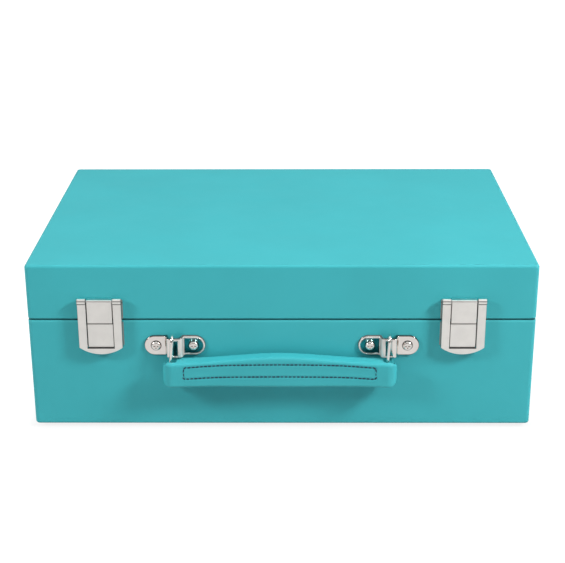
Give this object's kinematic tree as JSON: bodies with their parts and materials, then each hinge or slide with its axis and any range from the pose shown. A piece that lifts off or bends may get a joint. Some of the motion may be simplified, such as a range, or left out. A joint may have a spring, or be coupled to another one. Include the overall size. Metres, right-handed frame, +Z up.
{
  "type": "turntable record player",
  "caption": "Portable suitcase record player with a hinged lid, belt-driven platter, pivoted tonearm, built-in speakers, swing latches and a carrying handle.",
  "frame": {"origin": "middle of the bounding box at its underside, on the surface that the feet stand on, lid closed", "axes": "+Z up; the front with the latches and the handle faces -Y; +X is to the right seen from the front"},
  "size_m": [0.356, 0.2718, 0.124],
  "materials": {
    "case_covering": "board covered in smooth turquoise leatherette, satin",
    "handle_leather": "turquoise leatherette with navy stitching, satin",
    "latch_metal": "satin nickel plate",
    "bracket_chrome": "bright chrome plate",
    "ring_chrome": "bright chrome wire",
    "screw_chrome": "bright plated pan heads",
    "hinge_steel": "nickel-plated steel",
    "board": "hardboard, matte",
    "block_wood": "plain softwood",
    "foot_rubber": "matte black rubber",
    "deck_plastic": "textured black plastic",
    "platter_plastic": "moulded black plastic",
    "mat_felt": "black felt",
    "spindle_steel": "turned steel",
    "bearing_brass": "turned brass",
    "belt_rubber": "rubber belt",
    "motor_steel": "plated steel can",
    "arm_aluminium": "satin aluminium",
    "arm_plastic": "glossy black plastic",
    "stylus_plastic": "red plastic stylus carrier",
    "knob_plastic": "glossy black plastic",
    "lamp_lens": "translucent red plastic",
    "adapter_plastic": "black plastic",
    "grille_metal": "black painted perforated steel",
    "speaker_steel": "pressed steel",
    "cone_paper": "pulp paper cone",
    "magnet_ferrite": "ferrite",
    "board_green": "glass-fibre circuit board",
    "parts_plastic": "component bodies",
    "jack_plastic": "black plastic",
    "jack_metal": "nickel-plated shells",
    "wire_sleeve": "insulated wires"
  },
  "bodies": {
    "base": {"base_shell": "case_covering", "bottom_panel": "board", "corner_blocks": "block_wood", "rubber_feet": "foot_rubber", "foot_screws": "hinge_steel", "deck_plate": "deck_plastic", "deck_screws": "hinge_steel", "hinge_base_leaves": "hinge_steel", "hinge_pins": "hinge_steel", "hinge_base_screws": "hinge_steel", "latch_catch_plates": "latch_metal", "handle_brackets": "bracket_chrome", "bracket_screws": "screw_chrome", "spindle_bearing": "bearing_brass", "drive_belt": "belt_rubber", "motor_can": "motor_steel", "motor_bracket": "motor_steel", "motor_grommets": "foot_rubber", "tonearm_base": "arm_plastic", "arm_rest": "arm_plastic", "control_switches": "parts_plastic", "power_lamp": "lamp_lens", "speaker_grilles": "grille_metal", "speaker_frames": "speaker_steel", "speaker_cones": "cone_paper", "speaker_magnets": "magnet_ferrite", "main_board": "board_green", "board_components": "parts_plastic", "jack_panel": "jack_plastic", "jack_sockets": "jack_metal", "wiring_loom": "wire_sleeve"},
    "lid": {"lid_shell": "case_covering", "lid_bumpers": "foot_rubber", "hinge_lid_leaves": "hinge_steel", "hinge_lid_screws": "hinge_steel", "latch_hinge_plates": "latch_metal", "latch_pins": "latch_metal"},
    "latch_left": {"latch_frame_left": "latch_metal"},
    "latch_right": {"latch_frame_right": "latch_metal"},
    "handle_rings": {"handle_rings": "ring_chrome"},
    "handle": {"handle_grip": "handle_leather"},
    "platter": {"platter": "platter_plastic", "slipmat": "mat_felt", "spindle": "spindle_steel"},
    "motor_rotor": {"motor_pulley": "bearing_brass"},
    "tonearm_gimbal": {"tonearm_gimbal": "arm_plastic", "pivot_screws": "spindle_steel"},
    "tonearm": {"tonearm_tube": "arm_aluminium", "headshell": "arm_plastic", "cartridge": "parts_plastic", "stylus": "stylus_plastic", "counterweight": "arm_plastic"},
    "cue_lever": {"cue_lever": "arm_plastic"},
    "lift_bar": {"lift_bar": "arm_plastic"},
    "arm_clip": {"arm_clip": "arm_plastic"},
    "volume_knob": {"volume_knob": "knob_plastic"},
    "function_knob": {"function_knob": "knob_plastic"},
    "speed_selector": {"speed_selector": "knob_plastic"},
    "autostop_switch": {"autostop_switch": "knob_plastic"},
    "adapter_45": {"adapter_45": "adapter_plastic"}
  },
  "joints": [
    {"name": "lid_hinge", "type": "hinge", "parent": "base", "child": "lid", "pos_m": [0, 0.13365, 0.083], "axis": [-1, 0, 0], "range_deg": [0, 95]},
    {"name": "latch_left_swing", "type": "hinge", "parent": "lid", "child": "latch_left", "pos_m": [-0.1267, -0.12275, 0.0988], "axis": [-1, 0, 0], "range_deg": [0, 100]},
    {"name": "latch_right_swing", "type": "hinge", "parent": "lid", "child": "latch_right", "pos_m": [0.1267, -0.12275, 0.0988], "axis": [-1, 0, 0], "range_deg": [0, 100]},
    {"name": "ring_swing", "type": "hinge", "parent": "base", "child": "handle_rings", "pos_m": [0, -0.12095, 0.069], "axis": [-1, 0, 0], "range_deg": [0, 10]},
    {"name": "handle_tilt", "type": "hinge", "parent": "handle_rings", "child": "handle", "pos_m": [0, -0.12525, 0.038], "axis": [1, 0, 0], "range_deg": [0, 10]},
    {"name": "platter_spin", "type": "hinge", "parent": "base", "child": "platter", "pos_m": [-0.036, -0.00195, 0.091], "axis": [0, 0, -1], "continuous": true},
    {"name": "motor_spin", "type": "hinge", "parent": "base", "child": "motor_rotor", "pos_m": [-0.08074, 0.06194, 0.07], "axis": [0, 0, -1], "continuous": true},
    {"name": "tonearm_swing", "type": "hinge", "parent": "base", "child": "tonearm_gimbal", "pos_m": [0.1039, 0.08741, 0.104], "axis": [0, 0, -1], "range_deg": [0, 48]},
    {"name": "tonearm_lift", "type": "hinge", "parent": "tonearm_gimbal", "child": "tonearm", "pos_m": [0.1039, 0.08741, 0.104], "axis": [-0.9962, -0.0872, 0], "range_deg": [-1.5, 2.5]},
    {"name": "cue_lever_turn", "type": "hinge", "parent": "base", "child": "cue_lever", "pos_m": [0.12581, 0.08933, 0.087], "axis": [-0.9962, -0.0872, 0], "range_deg": [0, 60]},
    {"name": "lift_bar_slide", "type": "slide", "parent": "base", "child": "lift_bar", "axis": [0, 0, 1], "range_m": [0, 0.0018]},
    {"name": "arm_clip_turn", "type": "hinge", "parent": "base", "child": "arm_clip", "pos_m": [0.12479, -0.04929, 0.104], "axis": [0.0872, -0.9962, 0], "range_deg": [0, 90]},
    {"name": "volume_turn", "type": "hinge", "parent": "base", "child": "volume_knob", "pos_m": [0.148, 0.03505, 0.08], "axis": [0, 0, -1], "range_deg": [0, 300]},
    {"name": "function_turn", "type": "hinge", "parent": "base", "child": "function_knob", "pos_m": [0.148, 0.00705, 0.08], "axis": [0, 0, -1], "range_deg": [0, 60]},
    {"name": "speed_slide", "type": "slide", "parent": "base", "child": "speed_selector", "axis": [0, 1, 0], "range_m": [-0.006, 0.006]},
    {"name": "autostop_slide", "type": "slide", "parent": "base", "child": "autostop_switch", "axis": [0, 1, 0], "range_m": [-0.0025, 0.0025]},
    {"name": "adapter_lift", "type": "slide", "parent": "base", "child": "adapter_45", "axis": [0, 0, 1], "range_m": [0, 0.02]}
  ],
  "couplings": [
    {"joint": "motor_spin", "follows": "platter_spin", "ratio": 12.4},
    {"joint": "lift_bar_slide", "follows": "cue_lever_turn", "m_per_rad": 0.0017187}
  ]
}
